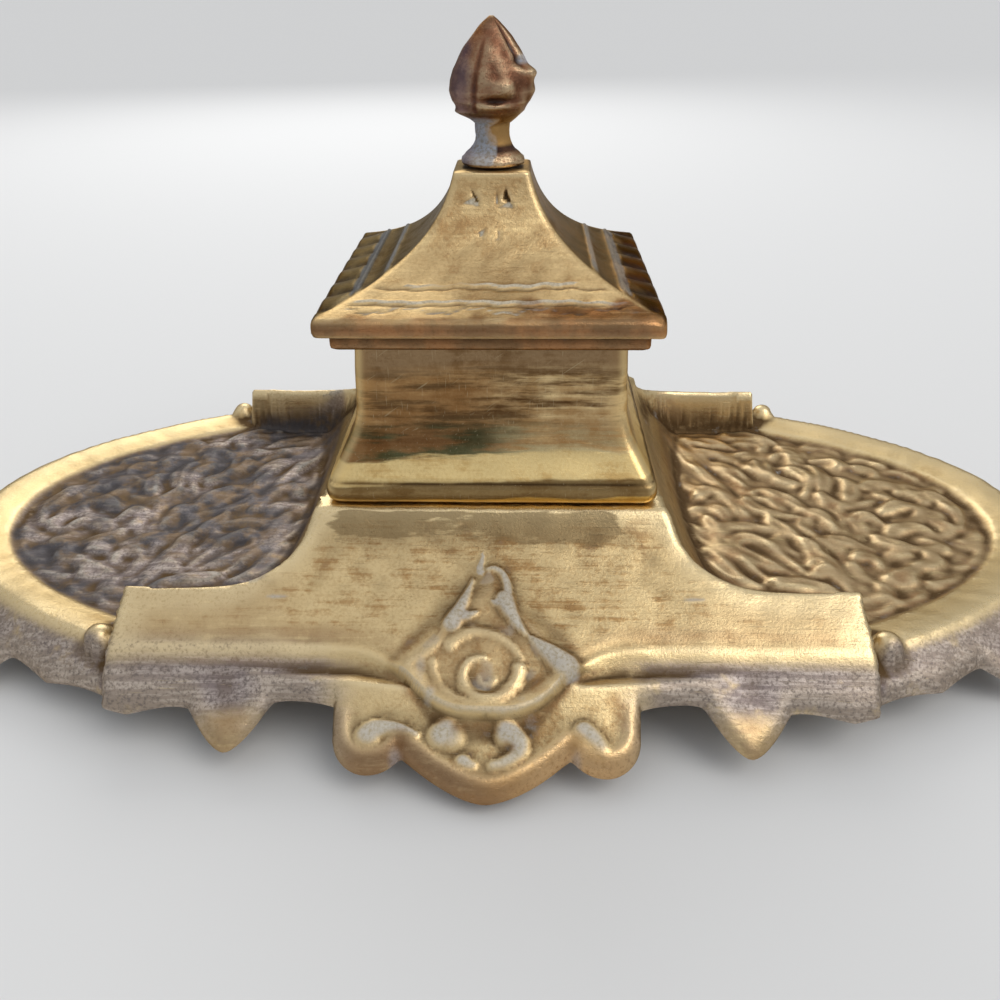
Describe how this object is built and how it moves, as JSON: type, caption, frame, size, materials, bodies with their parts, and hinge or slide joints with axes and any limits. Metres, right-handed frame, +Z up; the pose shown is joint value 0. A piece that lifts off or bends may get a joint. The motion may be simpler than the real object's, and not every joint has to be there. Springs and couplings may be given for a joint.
{
  "type": "brass desk inkwell",
  "caption": "Cast brass desk inkwell: oval tray with two pen dishes and a scalloped apron, square well on a plinth, hinged pagoda lid with a bud finial, and a lift-out pot.",
  "frame": {"origin": "centre of the tray's footprint, on the table", "axes": "+X to the object's right along the tray's length, -Y to the front, +Z up"},
  "size_m": [0.2728, 0.1474, 0.1114],
  "materials": {
    "old_brass": "worn cast brass with brown patina and grey-white deposit in the recesses",
    "bright_brass": "worn polished brass, scratched",
    "red_brass": "red-brown patina",
    "steel": "dull steel",
    "porcelain": "white glazed porcelain"
  },
  "bodies": {
    "base": {"tray": "old_brass", "well_body": "bright_brass", "hinge_pin": "steel", "base_screw_front_left": "steel", "base_screw_front_right": "steel", "base_screw_rear_left": "steel", "base_screw_rear_right": "steel"},
    "lid_unit": {"lid": "bright_brass", "finial": "red_brass", "finial_nut": "steel"},
    "pot": {"ink_pot": "porcelain"}
  },
  "joints": [
    {"name": "lid_hinge", "type": "hinge", "parent": "base", "child": "lid_unit", "pos_m": [0, 0.0324, 0.0636], "axis": [-1, 0, 0], "range_deg": [0, 100]},
    {"name": "pot_lift", "type": "slide", "parent": "base", "child": "pot", "axis": [0, 0, 1], "range_m": [0, 0.003]}
  ]
}
